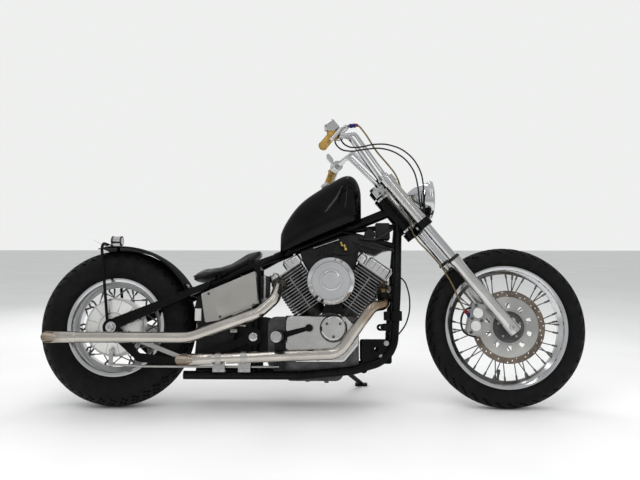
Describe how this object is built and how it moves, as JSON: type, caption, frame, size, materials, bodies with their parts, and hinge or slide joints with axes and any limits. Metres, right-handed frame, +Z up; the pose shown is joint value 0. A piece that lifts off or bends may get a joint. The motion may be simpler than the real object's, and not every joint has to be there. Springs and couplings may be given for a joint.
{
  "type": "chopper motorcycle",
  "caption": "Long-forked two-wheeled chopper with a finned V engine, laced spoke wheels, a low solo seat, side exhaust pipes and a folding side stand.",
  "frame": {"origin": "middle of the bottom of the machine's box, on the floor it stands on", "axes": "+X forward, +Y to the rider's left, +Z up; the machine leans 9 degrees to its left on the side stand"},
  "size_m": [2.2858, 0.7754, 1.1748],
  "materials": {
    "frame_black": "gloss",
    "tank_black": "gloss",
    "chrome": "polished",
    "exhaust_steel": "polished, tinted by heat",
    "polished_alloy": "polished",
    "satin_alloy": "satin",
    "fin_alloy": "cast",
    "case_metal": "cast, dark",
    "rim_alloy": "polished",
    "disc_bronze": "ground",
    "caliper_metal": "cast",
    "tyre": "matte",
    "seat_leather": "grained",
    "plate_pale": "satin",
    "lamp_body": "gloss",
    "battery_black": "matte",
    "grip_amber": "clear amber",
    "hose_braid": "braided",
    "cable_black": "satin",
    "lens_glass": "clear",
    "peg_rubber": "ribbed"
  },
  "bodies": {
    "chassis": {"main_frame": "frame_black", "swing_arm": "frame_black", "rear_axle": "chrome", "brake_panel": "satin_alloy", "crankcase": "case_metal", "final_drive": "satin_alloy", "rear_cylinder": "fin_alloy", "front_cylinder": "fin_alloy", "rear_head": "polished_alloy", "front_head": "chrome", "right_case_cover": "polished_alloy", "left_case_cover": "polished_alloy", "air_cleaner": "chrome", "carburettor": "satin_alloy", "upper_exhaust": "exhaust_steel", "lower_exhaust": "exhaust_steel", "exhaust_hangers": "satin_alloy", "fuel_tank": "tank_black", "tank_cap": "chrome", "seat": "seat_leather", "side_boxes": "satin_alloy", "battery_box": "battery_black", "rear_fender": "tank_black", "fender_hoop": "frame_black", "tail_lamp": "lamp_body", "plate_holder": "plate_pale", "right_peg": "peg_rubber", "brake_pedal": "frame_black", "left_peg": "peg_rubber", "shift_lever": "frame_black", "brake_linkage": "satin_alloy", "clutch_cable": "cable_black", "stand_bracket": "frame_black"},
    "fork": {"front_axle": "chrome", "fork_sliders": "polished_alloy", "fork_legs": "chrome", "lower_yoke": "chrome", "upper_yoke": "chrome", "fork_shrouds": "chrome", "handlebar": "chrome", "grips": "grip_amber", "brake_control": "chrome", "clutch_control": "chrome", "brake_caliper": "caliper_metal", "headlamp_shell": "chrome", "headlamp_lens": "lens_glass", "brake_hose": "hose_braid", "throttle_cables": "cable_black"},
    "front_wheel": {"front_tyre": "tyre", "front_rim_spokes": "rim_alloy", "front_hub": "satin_alloy", "brake_disc": "disc_bronze", "disc_carrier": "satin_alloy"},
    "rear_wheel": {"rear_tyre": "tyre", "rear_rim_spokes": "rim_alloy", "rear_hub": "satin_alloy"},
    "side_stand": {"side_stand": "frame_black"}
  },
  "joints": [
    {"name": "rear_wheel_spin", "type": "hinge", "parent": "chassis", "child": "rear_wheel", "pos_m": [-0.817, -0.10823, 0.32316], "axis": [0, 0.9877, -0.1564], "continuous": true},
    {"name": "steering", "type": "hinge", "parent": "chassis", "child": "fork", "pos_m": [0.35228, -0.03243, 0.80176], "axis": [-0.6293, 0.1216, 0.7676], "range_deg": [-35, 35]},
    {"name": "front_wheel_spin", "type": "hinge", "parent": "fork", "child": "front_wheel", "pos_m": [0.811, -0.10737, 0.32858], "axis": [0, 0.9877, -0.1564], "continuous": true},
    {"name": "side_stand_fold", "type": "hinge", "parent": "chassis", "child": "side_stand", "pos_m": [0.131, 0.02307, 0.12297], "axis": [0.0887, 0.4692, 0.8786], "range_deg": [0, 108]}
  ]
}
